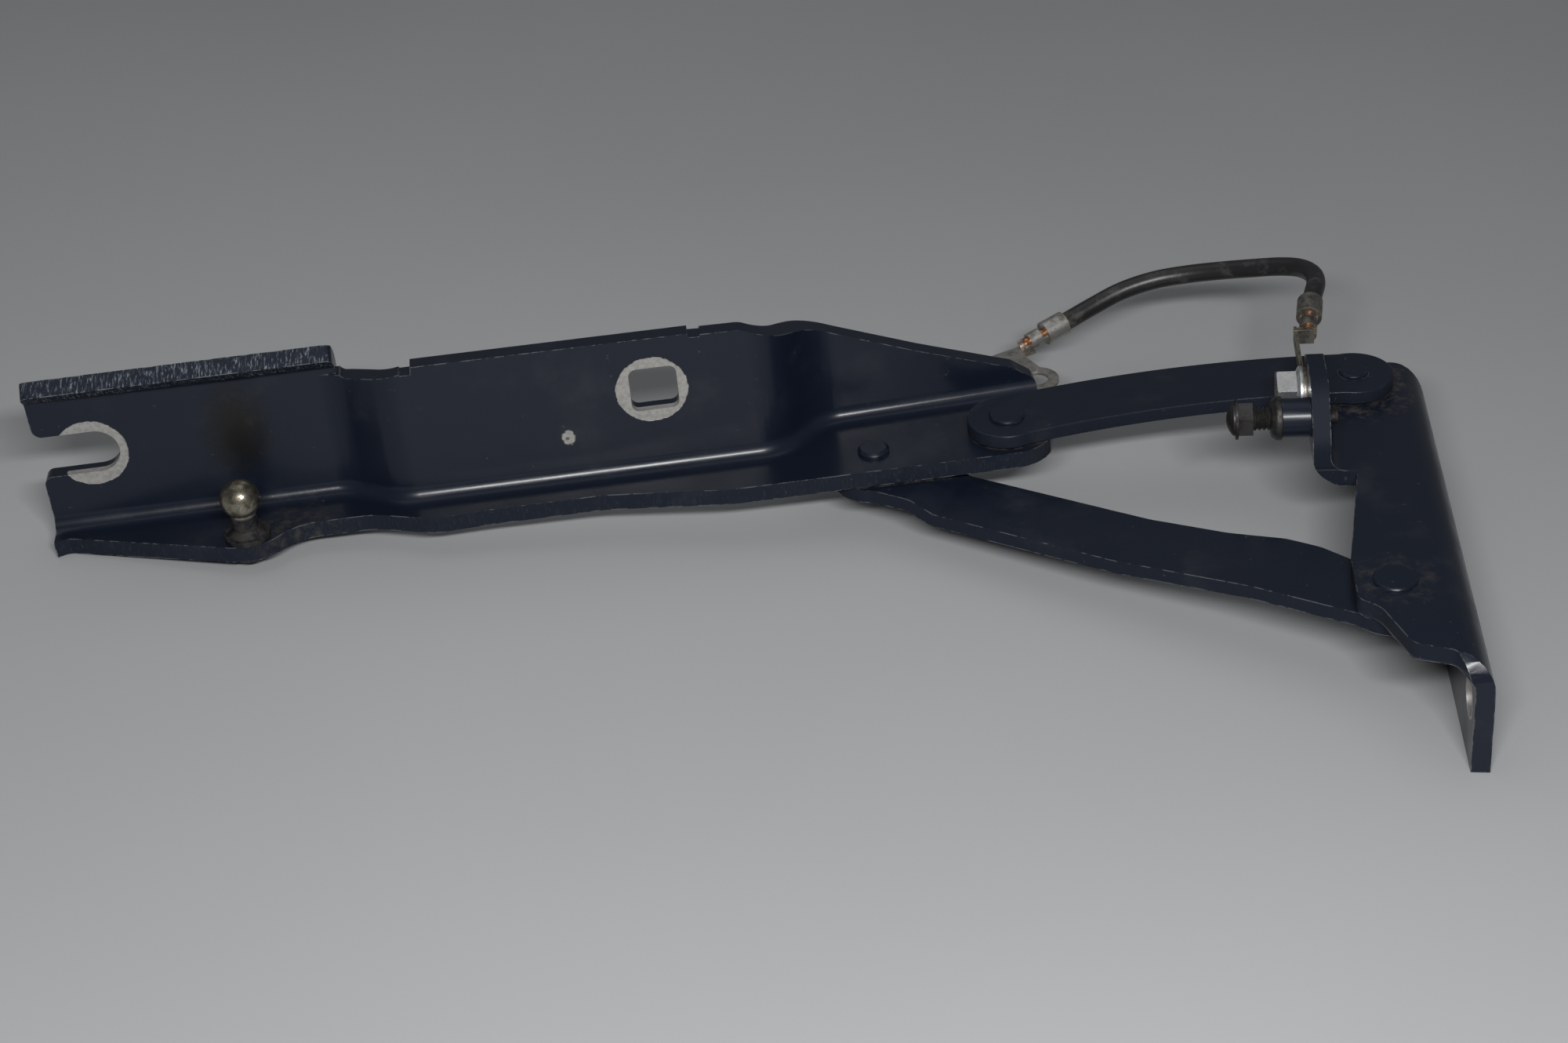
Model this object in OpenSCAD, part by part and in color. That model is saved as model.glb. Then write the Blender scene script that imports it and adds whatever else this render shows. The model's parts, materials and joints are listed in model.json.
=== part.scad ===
// Bonnet hinge: a body bracket and a bonnet arm, joined by two riveted links, shown fully open.
// The origin is the near body bolt hole on the mounting face of the bracket.
// +X points out of that face, +Y runs along it to the far bolt hole, +Z runs along the pivots.

/* [Sheet metal] */
// Thickness of the bracket and arm sheet
sheet_t = 4.4; // [3:0.1:5]
// Thickness of the link sheet
link_t = 3.6; // [3:0.1:4.5]
// Inside radius of the bends
bend_r = 4; // [2.5:0.5:5]

/* [Body bracket] */
// Height of the bracket's top face above the body bolt holes
plate_rise = 15; // [13:0.5:18]
// Depth of the mounting flange below the bracket's top face
flange_drop = 30.6; // [28:0.2:36]
// Distance from the near bolt hole to the near end
near_overhang = 8; // [7:0.5:12]
// Distance from the near bolt hole to the far end
far_reach = 124; // [120:1:132]
// Spacing of the two body bolt holes
body_hole_pitch = 92; // [70:1:98]
// Diameter of the body bolt holes
body_hole_d = 9; // [6:0.5:10]
// Upper pivot, behind the mounting face
upper_pivot_x = 19; // [17:0.5:22]
// Upper pivot, along the mounting face
upper_pivot_y = 112.5; // [111:0.5:116]
// Lower pivot, behind the mounting face
lower_pivot_x = 18.3; // [17:0.1:20]
// Lower pivot, along the mounting face
lower_pivot_y = 25.3; // [22:0.1:30]
// Radius of the plate round the upper pivot
pivot_pad_r = 11; // [10.5:0.5:12]
// Radius of the bracket's far corner
far_corner_r = 9; // [6:1:12]
// Distance of the plate's near end behind the flange's near end
plate_setback = 5.4; // [5.2:0.2:7]
// Radius of the flange's near top corner
flange_corner_r = 9; // [6:0.5:10]

/* [Bolt tab] */
// Distance from the mounting face to the tab's outer face
tab_reach = 32.8; // [32:0.2:34]
// Start of the tab along the mounting face
tab_near = 72.4; // [70:0.2:74]
// Width of the tab
tab_w = 28; // [27.6:0.2:30]
// Height of the tab above the bracket's top face
tab_h = 19.6; // [18:0.2:24]
// Height of both bolts above the bracket's top face
bolt_rise = 10; // [9:0.5:11]
// Stop bolt, from the tab's near edge
stop_inset = 9.4; // [7.4:0.2:9.4]
// Earth bolt, from the tab's near edge
earth_inset = 22; // [21.6:0.2:22]

/* [Stop bolt] */
// Thread diameter of the stop bolt
stop_d = 6; // [5:0.5:6]
// Diameter of the reduced end behind the tab
stop_end_d = 3.6; // [3:0.2:4.4]
// Length of the reduced end behind the tab
stop_end_len = 2.2; // [1:0.2:4]
// Width across the flats of the stop bolt
stop_flats = 8; // [7:0.5:9]
// Length of the stop bolt's hexagon
stop_hex_len = 3.6; // [3:0.2:5]
// Diameter of the domed stop face
stop_tip_d = 8; // [6:0.5:9]
// Height of the domed stop face
stop_tip_h = 2.2; // [1.5:0.1:3]
// Diameter of the thin flange behind the dome
stop_rim_d = 10; // [9:0.5:12]
// Thickness of the thin flange behind the dome
stop_rim_t = 0.6; // [0.4:0.1:1]
// Free thread between hexagon and lock nut
stop_thread = 4.4; // [2:0.2:7]
// Pitch of the stop bolt's thread
stop_pitch = 1; // [0.8:0.1:1.25]
// Diameter of the welded boss
boss_d = 10; // [9:0.5:11]
// Length of the welded boss
boss_len = 7; // [5:0.1:9]
// Diameter of the lock nut
lock_d = 11; // [10:0.5:12]
// Thickness of the lock nut
lock_t = 2.6; // [2:0.2:4]

/* [Earth bolt and cable] */
// Thread diameter of the earth bolt
earth_d = 6; // [5:0.5:6]
// Width across the flats of the earth bolt
earth_flats = 10; // [9:0.5:10]
// Height of the earth bolt's hexagon
earth_hex_h = 4.8; // [4:0.2:7]
// Diameter of the earth bolt's flange
earth_rim_d = 12.6; // [12:0.2:13]
// Thickness of the earth bolt's flange
earth_rim_t = 1.6; // [1:0.1:2.2]
// Thickness of the terminals
terminal_t = 0.8; // [0.6:0.1:1]
// Outside diameter of the terminal rings
ring_d = 12; // [11:0.5:12]
// Diameter of the cable over its insulation
cable_d = 5; // [4:0.2:5.4]
// Diameter of the cable's copper
copper_d = 3.2; // [2.4:0.1:3.4]

/* [Upper link] */
// Pivot spacing of the upper link
upper_len = 89.7; // [86:0.1:92]
// Direction of the upper link when open
upper_angle = 189.9; // [188:0.1:192]
// Width of the upper link
upper_w = 19.4; // [17:0.2:20]
// Radius of the upper link's eyes
upper_eye_r = 10.1; // [10:0.1:11]
// Sideways bow of the upper link
upper_bow = 4; // [2:0.2:5]

/* [Lower link] */
// Width of the lower link
lower_w = 20; // [18:0.2:20]
// Radius of the lower link's eyes
lower_eye_r = 10.6; // [10.6:0.1:11]
// Distance by which the link's middle line passes beyond its eyes
lower_shift = 0.6; // [0:0.1:0.6]
// Rise of the swelling on the link's far edge
lower_swell = 1.8; // [1:0.2:2]
// Drop of the lower link between its eyes
lower_drop = 2.7; // [2:0.1:3]
// Start of the long ramp, from the lower body pivot
ramp_start = 30; // [24:1:34]
// Angle of the long ramp
ramp_a = 4.4; // [4:0.1:6]
// Radius of the long ramp's bends
ramp_r = 40; // [20:5:50]
// Radius of the short ramp's bends
lower_bend_r = 5; // [3:0.5:7]
// Angle of the short ramp at the arm end
lower_bend_a = 22; // [18:1:26]

/* [Pivots] */
// Diameter of the rivet shanks
rivet_d = 6; // [5:0.2:6.2]
// Wall of the flanged bushes
bush_wall = 1; // [0.8:0.1:1.4]
// Thickness of the bush flanges, which space the links
bush_flange_t = 0.6; // [0.5:0.1:1]
// Diameter of the bush flanges
bush_flange_d = 13; // [12:0.5:15]
// Running clearance of a rivet in its bush
run_gap = 0.05; // [0.02:0.01:0.08]
// Play under the rivet heads
head_gap = 0.1; // [0.05:0.05:0.2]
// Gap between the two halves of the lower arm rivet
split_gap = 0.3; // [0.2:0.05:0.5]
// Diameter of the factory heads underneath
base_head_d = 11; // [10:0.2:12]
// Height of the factory heads underneath
base_head_h = 2.4; // [2:0.1:3]
// Formed head of the upper body rivet
upper_body_head_d = 7.4; // [7:0.1:9]
// Formed head of the upper arm rivet
upper_arm_head_d = 9; // [8:0.2:11]
// Formed head of the lower arm rivet
lower_arm_head_d = 8; // [7.6:0.2:10]
// Formed head of the lower body rivet
lower_body_head_d = 10.4; // [9:0.2:12]
// Height of the low formed heads
low_head_h = 0.8; // [0.6:0.1:1.2]
// Height of the lower arm rivet's formed head
tall_head_h = 1.5; // [1:0.1:2]

/* [Bonnet arm] */
// Direction of the arm when open
arm_angle = 10; // [9:0.1:11]
// Spacing of the two arm pivots
arm_pivot_gap = 34.8; // [34:0.1:36]
// Slope of the line through the arm pivots against the arm
arm_pivot_slope = 3.5; // [3:0.1:4]
// Length of the arm behind its upper pivot
arm_len = 243; // [241:1:248]
// Reach of the arm past its upper pivot
arm_tip = 11; // [10:0.5:12]
// Distance from the upper pivot to the middle wall
mid_wall_y = 3; // [2:0.5:4]
// Offset of the slotted end behind the middle wall
end_offset = 8; // [7:0.5:9]
// Offset of the pivot end behind the middle wall
pivot_offset = 12.5; // [12:0.5:14]
// Start of the slotted end's joggle, from the upper pivot
end_joggle_x = 171; // [169:1:173]
// Start of the pivot end's joggle, from the upper pivot
pivot_joggle_x = 64; // [62:1:66]
// Radius of the joggles, measured on the inner face
joggle_r = 14; // [13:0.5:15]
// Angle of the slotted end's joggle
end_joggle_a = 32; // [30:1:35]
// Angle of the pivot end's joggle
pivot_joggle_a = 48; // [46:1:50]
// Angle between the pivot end and the middle wall
tip_slope = 3; // [1:0.5:4]
// Height of the middle wall above the flange's top face
wall_h = 38; // [36:0.5:40]
// Height at which the stiffening lip starts
lip_z = 35.6; // [34:0.2:37]
// Angle of the stiffening lip
lip_a = 45; // [35:1:55]
// Width of the stiffening lip
lip_w = 4.4; // [3:0.2:6]
// Inside radius of the stiffening lip's bend
lip_r = 2; // [1.5:0.5:3]
// Length of the lip past the start of the joggle
lip_over = 5; // [3:0.5:5.5]
// Radius of the lip's free corners
lip_corner = 2; // [1:0.5:3]
// Length of the recess in the wall's top edge, beside the lip
recess_len = 19; // [16:0.5:21]
// Centre of the small notch in the wall's top edge, from the upper pivot
notch_x = 76.6; // [75:0.2:78]
// Width of the small notch
notch_w = 3; // [2:0.2:4]
// Height of the wall's sloping top edge, halfway to the tip
slope_z = 25.6; // [24:0.2:27]
// Height of the wall beside the upper pivot
nose_z = 10.4; // [9:0.2:11]
// Edge distance of the flange at the ball stud
ball_edge = 5; // [4:0.2:6]
// Width of the flange's waist beside the ball stud
waist_w = 4.6; // [4.2:0.2:5.4]
// Width of the flange's middle
belly_w = 9.4; // [8.4:0.2:10]
// Edge distance of the flange at the pivots
pivot_edge = 11.4; // [11:0.2:12]

/* [Bonnet bolts] */
// Width of the open slot
slot_w = 11.6; // [9:0.2:12]
// Radius of the corners at the slot's mouth
prong_r = 2.5; // [1:0.5:3]
// Centre of the slot's round end, from the upper pivot
slot_x = 228.4; // [226:0.2:231]
// Height of both bonnet bolts above the flange's top face
bonnet_bolt_z = 21; // [20:0.5:22]
// Width of the square hole
square_w = 12; // [9:0.2:13]
// Height of the square hole above the slot
square_rise = 2.4; // [1:0.2:3]
// Square hole, from the upper pivot
square_x = 88; // [86:0.5:90]

/* [Ball stud] */
// Diameter of the gas strut ball
ball_d = 10; // [8:0.5:10]
// Height of the ball's centre above the flange's top face
ball_rise = 11; // [9:0.5:13]
// Ball, from the upper pivot along the arm
ball_x = 193.5; // [192:0.5:195]
// Ball, from the upper pivot across the arm
ball_y = -4; // [-4.5:0.1:-3]
// Diameter of the stud's neck
neck_d = 6.4; // [5:0.2:7]
// Diameter of the stud's collar
collar_d = 11.6; // [10:0.2:12]
// Height of the stud's collar
collar_h = 1.4; // [1:0.1:2]
// Diameter of the stud's riveted shank
stud_d = 7; // [5:0.2:8]

/* [Hidden] */
$fn = 64;
// Steps in each rounded corner of an outline and in each bend of the sheet
corner_steps = 6;
bend_steps = 8;
// Length that takes a cut clear of any piece
clear = 300;

// Layers along the pivots
plate_top = plate_rise;
plate_base = plate_top - sheet_t;
upper_base = plate_top + bush_flange_t;
upper_top = upper_base + link_t;
lower_top = plate_base - bush_flange_t;
lower_base = lower_top - link_t;
bend_out = bend_r + sheet_t;

// Pivots in plan: the upper link and the arm set the length of the lower link
pivot_a = [-upper_pivot_x, upper_pivot_y];
pivot_d = [-lower_pivot_x, lower_pivot_y];
pivot_b = pivot_a + upper_len * [cos(upper_angle), sin(upper_angle)];
pivot_c = pivot_b - arm_pivot_gap * [cos(arm_angle + arm_pivot_slope), sin(arm_angle + arm_pivot_slope)];
lower_len = norm(pivot_c - pivot_d);
lower_angle = heading(pivot_d, pivot_c);

// Holes for the flanged bushes
bush_r = rivet_d / 2 + run_gap + bush_wall;

// Bolts on the tab
tab_face = -tab_reach;
tab_back = tab_face + sheet_t;
tab_root = 2.4;
bolt_z = plate_top + bolt_rise;
stop_y = tab_near + stop_inset;
earth_y = tab_near + earth_inset;
lock_face = tab_face - boss_len - lock_t;

// Route of the cable from the body terminal to the bonnet terminal
cable_route = [
    [-29, 127, 28], [-28.4, 131.5, 28.6], [-27, 137, 29], [-25.8, 143, 29], [-26.2, 149, 28.4],
    [-29, 154.4, 27.4], [-34, 158.6, 25.8], [-41, 162.4, 23.6], [-49, 166, 21.3], [-58, 168.4, 19.3],
    [-67, 168.8, 17.7], [-76, 167, 15.7], [-84, 163.6, 13.2], [-91, 159.6, 11.2], [-97, 155.8, 9.9]
];
cable_sides = 10;
// Terminal proportions along the cable
crimp_len = 6;
wire_crimp_len = 3.6;
crimp_wall = 0.7;
crimp_gap = 0.1;
window_len = 2.2;
barrel_len = 2 * window_len + wire_crimp_len;
strand_gap = 0.05;
strand_stop = 1.2;

paint = "#34425c";
bare_steel = "#a8a59c";
zinc = "#c9c9c4";
tin = "#d2cfc6";
copper = "#b87345";
bush_bronze = "#9a7d4a";
insulation = "#2c2a29";

// Direction from one plan point to another
function heading(p, q) = atan2(q.y - p.y, q.x - p.x);

// Corner of an outline replaced by an arc of radius p[2], as points
function corner(a, p, b) =
    let (
        v = [p.x, p.y],
        u = ([a.x, a.y] - v) / norm([a.x, a.y] - v),
        w = ([b.x, b.y] - v) / norm([b.x, b.y] - v),
        half = acos(u * w) / 2,
        centre = v + (u + w) / norm(u + w) * p[2] / sin(half),
        first = heading(centre, v + u * p[2] / tan(half)),
        last = heading(centre, v + w * p[2] / tan(half)),
        swing = ((last - first) % 360 + 540) % 360 - 180
    )
    p[2] == 0 ? [v] : [for (i = [0:corner_steps])
        centre + p[2] * [cos(first + swing * i / corner_steps), sin(first + swing * i / corner_steps)]];

// Outline with rounded corners, from points [x, y, radius]
function rounded(pts) = [for (i = [0:len(pts) - 1])
    each corner(pts[(i + len(pts) - 1) % len(pts)], pts[i], pts[(i + 1) % len(pts)])];

// Part of a flat ring, from the X axis round to angle a
module ring_sector(r, t, a) {
    intersection() {
        difference() {
            circle(r + t);
            circle(r);
        }
        polygon([[0, 0], [2 * (r + t), 0], [2 * (r + t), 2 * (r + t) * tan(a / 2)],
            2 * (r + t) * [cos(a), sin(a)]]);
    }
}

// Turn a plan vector by angle a
function turned(v, a) = [v.x * cos(a) - v.y * sin(a), v.x * sin(a) + v.y * cos(a)];

// One face of a band of sheet seen edge on, off to the left of its path.
// Each row is a straight run, a turn and the inside radius of that turn.
function sheet_face(rows, off, t, pos = [0, 0], dir = 0, i = 0) =
    i == len(rows) ? [] :
    let (
        turn = rows[i][1],
        left = turned([0, 1], dir),
        foot = pos + turned([rows[i][0], 0], dir),
        centre = foot + left * (turn > 0 ? rows[i][2] : -rows[i][2] - t),
        arc = turn == 0 ? [foot + left * off] :
            [for (k = [0:bend_steps]) centre + turned(foot + left * off - centre, turn * k / bend_steps)]
    )
    concat(i == 0 ? [pos + left * off] : [], arc,
        sheet_face(rows, off, t, turn == 0 ? foot : centre + turned(foot - centre, turn), dir + turn, i + 1));

// Outline of that band, with its thickness t on the right hand
function sheet_band(rows, t) =
    concat(sheet_face(rows, 0, t), reversed(sheet_face(rows, -t, t)));

// Points in reverse order, and points moved by v
function reversed(pts) = [for (i = [len(pts) - 1:-1:0]) pts[i]];
function moved(pts, v) = [for (p = pts) p + v];

// Solid of a band between two profile lines carried along a plan path,
// with profile X to the left hand and profile Y up
module swept(rows, outside, inside) {
    band = concat(outside, reversed(inside));
    lines = [for (p = band) sheet_face(rows, p.x, 0)];
    n = len(band);
    m = len(lines[0]);
    pts = [for (j = [0:n - 1], i = [0:m - 1]) [lines[j][i].x, lines[j][i].y, band[j].y]];
    sides = [for (j = [0:n - 1], i = [0:m - 2])
        [j * m + i, j * m + i + 1, (j + 1) % n * m + i + 1, (j + 1) % n * m + i]];
    start = [for (k = [0:n / 2 - 2]) [k * m, (n - 1 - k) * m, (n - 2 - k) * m, (k + 1) * m]];
    end = [for (q = start) [for (k = [3:-1:0]) q[k] + m - 1]];
    polyhedron(pts, concat(sides, start, end));
}

// Frame at p with its Z axis along d, and its -X side up where d is level
module aligned(p, d) {
    translate(p)
        rotate([0, acos(d.z / norm(d)), atan2(d.y, d.x)])
            children();
}

// Straight middle run of a joggle that shifts by offset in two turns of angle a
function joggle_run(offset, a, r) = (offset - 2 * r * (1 - cos(a))) / sin(a);

// Domed factory head under z, with its shank up to top
module rivet_base(z, top) {
    translate([0, 0, z - base_head_h])
        cylinder(d1 = base_head_d * 0.7, d2 = base_head_d, h = base_head_h / 2);
    translate([0, 0, z - base_head_h / 2])
        cylinder(d = base_head_d, h = base_head_h / 2);
    translate([0, 0, z])
        cylinder(d = rivet_d, h = top - z);
}

// Formed head of diameter d standing on z, with a small chamfer
module formed_head(z, d, h) {
    translate([0, 0, z])
        cylinder(d = d, h = h / 2);
    translate([0, 0, z + h / 2])
        cylinder(d1 = d, d2 = d - h, h = h / 2);
}

// Bush with its flange at the bottom, for a link standing on that flange
module bush(z) {
    translate([0, 0, z])
        difference() {
            union() {
                cylinder(r = bush_r, h = bush_flange_t + link_t);
                cylinder(d = bush_flange_d, h = bush_flange_t);
            }
            translate([0, 0, -1])
                cylinder(r = rivet_d / 2 + run_gap, h = bush_flange_t + link_t + 2);
        }
}

// Bracket: plate, flange and tab

// Plan outline of the plate and of the flange bent down along its right edge
module bracket_plan() {
    waist_x = tab_back + bend_r + tab_root;
    side_x = -lower_pivot_x - 9.2;
    plate_near = plate_setback - near_overhang;
    polygon(rounded([
        [1, -near_overhang - 1, 0], [1, far_reach, far_corner_r], [-upper_pivot_x, far_reach, 0],
        [-upper_pivot_x, tab_near + tab_w, 0], [waist_x, tab_near + tab_w, 0], [waist_x, tab_near, 2],
        [side_x, lower_pivot_y + 9, 14], [side_x, lower_pivot_y - 7, 3],
        [-lower_pivot_x - 4.5, lower_pivot_y - 10.5, 8], [-lower_pivot_x + 1, plate_near + 3, 4],
        [-bend_out, plate_near, 3], [-sheet_t - 0.2, -near_overhang - 1, 0]
    ]));
    translate(pivot_a)
        circle(pivot_pad_r);
}

// Outline of the flange and its bend, X along Y and Y along Z
module flange_outline() {
    base = plate_top - flange_drop - 1;
    polygon(rounded([[-near_overhang, base, 0], [far_reach + 1, base, 0], [far_reach + 1, plate_top + 1, 0],
        [-near_overhang, plate_top + 1, flange_corner_r]]));
}

// Cross-section of the plate and the flange, X along X and Y along Z
module flange_section() {
    start = -bend_out - 1;
    translate([start, plate_top])
        polygon(sheet_band([[1, -90, bend_r], [flange_drop - bend_out, 0, 0]], sheet_t));
}

// Cross-section of the tab and its bend, X along X and Y along Z
module tab_section() {
    translate([tab_back, plate_top + tab_h])
        rotate(-90)
            polygon(sheet_band([[tab_h - bend_r, 90, bend_r], [tab_root + 0.8, 0, 0]], sheet_t));
}

// Outline of the tab, X along Y and Y along Z
module tab_outline() {
    far = tab_near + tab_w;
    top = plate_top + tab_h;
    polygon(rounded([[tab_near, plate_base, 0], [far, plate_base, 0], [far, top, 6],
        [tab_near + 9, top, 9], [tab_near, plate_top + 8, 8]]));
}

module body_bracket() {
    color(paint)
        difference() {
            union() {
                intersection() {
                    union() {
                        intersection() {
                            translate([0, far_reach + 2, 0])
                                rotate([90, 0, 0])
                                    linear_extrude(far_reach + near_overhang + 4)
                                        flange_section();
                            rotate([90, 0, 90])
                                translate([0, 0, -clear])
                                    linear_extrude(2 * clear)
                                        flange_outline();
                        }
                        translate([-clear, -clear, plate_base])
                            cube([clear - bend_out, 2 * clear, sheet_t]);
                    }
                    translate([0, 0, -clear])
                        linear_extrude(2 * clear)
                            bracket_plan();
                }
                intersection() {
                    translate([0, tab_near + tab_w, 0])
                        rotate([90, 0, 0])
                            linear_extrude(tab_w)
                                tab_section();
                    rotate([90, 0, 90])
                        translate([0, 0, -clear])
                            linear_extrude(2 * clear)
                                tab_outline();
                }
            }
            for (y = [0, body_hole_pitch])
                translate([-bend_out, y, 0])
                    rotate([0, 90, 0])
                        cylinder(d = body_hole_d, h = 2 * bend_out);
            for (p = [pivot_a, pivot_d])
                translate([p.x, p.y, plate_base - 1])
                    cylinder(d = rivet_d, h = sheet_t + 2);
            translate([tab_face - 1, stop_y, bolt_z])
                rotate([0, 90, 0])
                    cylinder(d = stop_end_d, h = sheet_t + 2);
            translate([tab_face - 1, earth_y, bolt_z])
                rotate([0, 90, 0])
                    cylinder(d = earth_d, h = sheet_t + 2);
        }
}

// Welded boss that holds the stop bolt's thread
module stop_boss() {
    color(paint)
        translate([tab_face - boss_len, stop_y, bolt_z])
            rotate([0, 90, 0])
                difference() {
                    cylinder(d = boss_d, h = boss_len);
                    translate([0, 0, -1])
                        cylinder(d = stop_d, h = boss_len + 2);
                }
}

// Stop bolt with a domed face towards the arm, screwed through the lock nut into the boss
module stop_bolt() {
    thread_base = lock_t + boss_len;
    hex_base = thread_base + stop_thread;
    color(bare_steel)
        translate([tab_face, stop_y, bolt_z])
            rotate([0, -90, 0]) {
                translate([0, 0, -sheet_t - stop_end_len])
                    cylinder(d = stop_end_d, h = sheet_t + stop_end_len);
                cylinder(d = stop_d, h = thread_base);
                translate([0, 0, thread_base])
                    rotate_extrude()
                        thread_profile();
                translate([0, 0, hex_base])
                    cylinder(d = stop_flats / cos(30), h = stop_hex_len, $fn = 6);
                translate([0, 0, hex_base + stop_hex_len])
                    cylinder(d = stop_rim_d, h = stop_rim_t);
                translate([0, 0, hex_base + stop_hex_len + stop_rim_t])
                    rotate_extrude()
                        intersection() {
                            square([stop_tip_d / 2, stop_tip_h]);
                            translate([0, stop_tip_h - stop_tip_d * 0.7])
                                circle(stop_tip_d * 0.7);
                        }
            }
}

// Half section of the free thread, as rings of the thread's pitch
module thread_profile() {
    rings = floor(stop_thread / stop_pitch);
    pitch = stop_thread / rings;
    crest = stop_d / 2;
    root = crest - 0.6 * stop_pitch;
    polygon(concat([[0, 0], [root, 0]],
        [for (k = [0:rings - 1]) each [[crest, (k + 0.5) * pitch], [root, (k + 1) * pitch]]],
        [[0, stop_thread]]));
}

// Thin lock nut against the boss
module stop_lock_nut() {
    color(bare_steel)
        translate([lock_face, stop_y, bolt_z])
            rotate([0, 90, 0])
                difference() {
                    union() {
                        cylinder(d1 = lock_d - 2, d2 = lock_d, h = lock_t / 2);
                        translate([0, 0, lock_t / 2])
                            cylinder(d = lock_d, h = lock_t / 2);
                    }
                    translate([0, 0, -1])
                        cylinder(d = stop_d, h = lock_t + 2);
                }
}

// Hexagon flange bolt that clamps the body terminal to the tab
module earth_bolt() {
    color(zinc)
        translate([tab_face, earth_y, bolt_z])
            rotate([0, -90, 0]) {
                translate([0, 0, -sheet_t])
                    cylinder(d = earth_d, h = sheet_t + terminal_t);
                translate([0, 0, terminal_t])
                    cylinder(d = earth_rim_d, h = earth_rim_t / 2);
                translate([0, 0, terminal_t + earth_rim_t / 2])
                    cylinder(d1 = earth_rim_d, d2 = earth_flats, h = earth_rim_t / 2);
                translate([0, 0, terminal_t + earth_rim_t])
                    intersection() {
                        cylinder(d = earth_flats / cos(30), h = earth_hex_h, $fn = 6);
                        cylinder(d1 = earth_flats + 2 * earth_hex_h, d2 = earth_flats, h = earth_hex_h + 0.6);
                    }
            }
}

// Earth cable and its two terminals

// Point p of the route and its direction, and a place s along that direction
function route_dir(i) =
    let (
        n = len(cable_route) - 1,
        d = cable_route[min(i + 1, n)] - cable_route[max(i - 1, 0)]
    )
    d / norm(d);
function along(p, d, s) = p + d * s;

first_dir = route_dir(0);
last_dir = route_dir(len(cable_route) - 1);
cable_start = cable_route[0];
cable_end = cable_route[len(cable_route) - 1];

// Ring of points round the route
function cable_ring(i) =
    let (
        d = route_dir(i),
        u = cross(d, [0, 0, 1]) / norm(cross(d, [0, 0, 1])),
        v = cross(u, d)
    )
    [for (k = [0:cable_sides - 1])
        cable_route[i] + cable_d / 2 * (u * cos(360 * k / cable_sides) + v * sin(360 * k / cable_sides))];

module earth_cable() {
    n = cable_sides;
    rings = len(cable_route);
    pts = [for (i = [0:rings - 1]) each cable_ring(i)];
    sides = [for (i = [0:rings - 2], k = [0:n - 1])
        [i * n + k, i * n + (k + 1) % n, (i + 1) * n + (k + 1) % n, (i + 1) * n + k]];
    ends = [[for (k = [0:n - 1]) n - 1 - k], [for (k = [0:n - 1]) (rings - 1) * n + k]];
    color(insulation)
        polyhedron(pts, concat(sides, ends));
}

// Crimp barrels on the cable end p, whose copper leaves along d and shows in two windows
module crimp(p, d) {
    grip_r = cable_d / 2 + crimp_gap;
    aligned(p, d)
        difference() {
            union() {
                translate([0, 0, -crimp_len])
                    cylinder(r = grip_r + crimp_wall, h = crimp_len + crimp_wall);
                cylinder(r = copper_d / 2 + crimp_wall, h = barrel_len);
            }
            translate([0, 0, -crimp_len - 1])
                cylinder(r = grip_r, h = crimp_len + 1);
            translate([0, 0, -1])
                cylinder(d = copper_d, h = barrel_len + 2);
            for (span = [[crimp_wall, window_len], [window_len + wire_crimp_len, barrel_len + 1]])
                translate([-2 * copper_d, -copper_d, span[0]])
                    cube([2 * copper_d - 0.4, 2 * copper_d, span[1] - span[0]]);
        }
}

// Copper strands inside the crimp
module conductor(p, d) {
    color(copper)
        aligned(p, d)
            cylinder(d = copper_d - 2 * strand_gap, h = barrel_len - strand_stop);
}

module body_conductor() {
    conductor(cable_start, -first_dir);
}

module bonnet_conductor() {
    conductor(cable_end, last_dir);
}

// Ring under the earth bolt, with a tongue up to its crimp
module body_terminal() {
    tip = along(cable_start, -first_dir, barrel_len);
    color(tin) {
        crimp(cable_start, -first_dir);
        translate([tab_face - terminal_t, 0, 0])
            rotate([90, 0, 90])
                linear_extrude(terminal_t)
                    difference() {
                        union() {
                            translate([earth_y, bolt_z])
                                circle(d = ring_d);
                            polygon([[earth_y + 4, bolt_z - 2], [earth_y + 4, bolt_z + 3],
                                [tip.y + 1, tip.z + 2], [tip.y + 1, tip.z - 2]]);
                        }
                        translate([earth_y, bolt_z])
                            circle(d = earth_d);
                    }
        translate([tab_face - terminal_t, tip.y - 1.2, tip.z - 2])
            cube([tip.x - tab_face + terminal_t + copper_d / 2, 1.6, 4]);
    }
}

// Flag terminal whose empty ring stands square to its crimp
module bonnet_terminal() {
    flag_reach = 15;
    flag_w = 8;
    tip = along(cable_end, last_dir, barrel_len);
    color(tin) {
        crimp(cable_end, last_dir);
        translate(tip)
            rotate([0, 0, atan2(last_dir.y, last_dir.x)])
                difference() {
                    translate([0, 0, -copper_d / 2 - crimp_wall])
                        linear_extrude(terminal_t)
                            difference() {
                                union() {
                                    translate([-3, -2.4])
                                        square([4 + flag_w, 4.8]);
                                    translate([1, 0])
                                        square([flag_w, flag_reach]);
                                    translate([1 + flag_w / 2, flag_reach])
                                        circle(d = ring_d);
                                }
                                translate([1 + flag_w / 2, flag_reach])
                                    circle(d = earth_d + 0.4);
                            }
                    translate([-12, 0, 0])
                        rotate([0, 90, 0])
                            cylinder(d = copper_d, h = 12);
                }
    }
}

// Links and pivots

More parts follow.
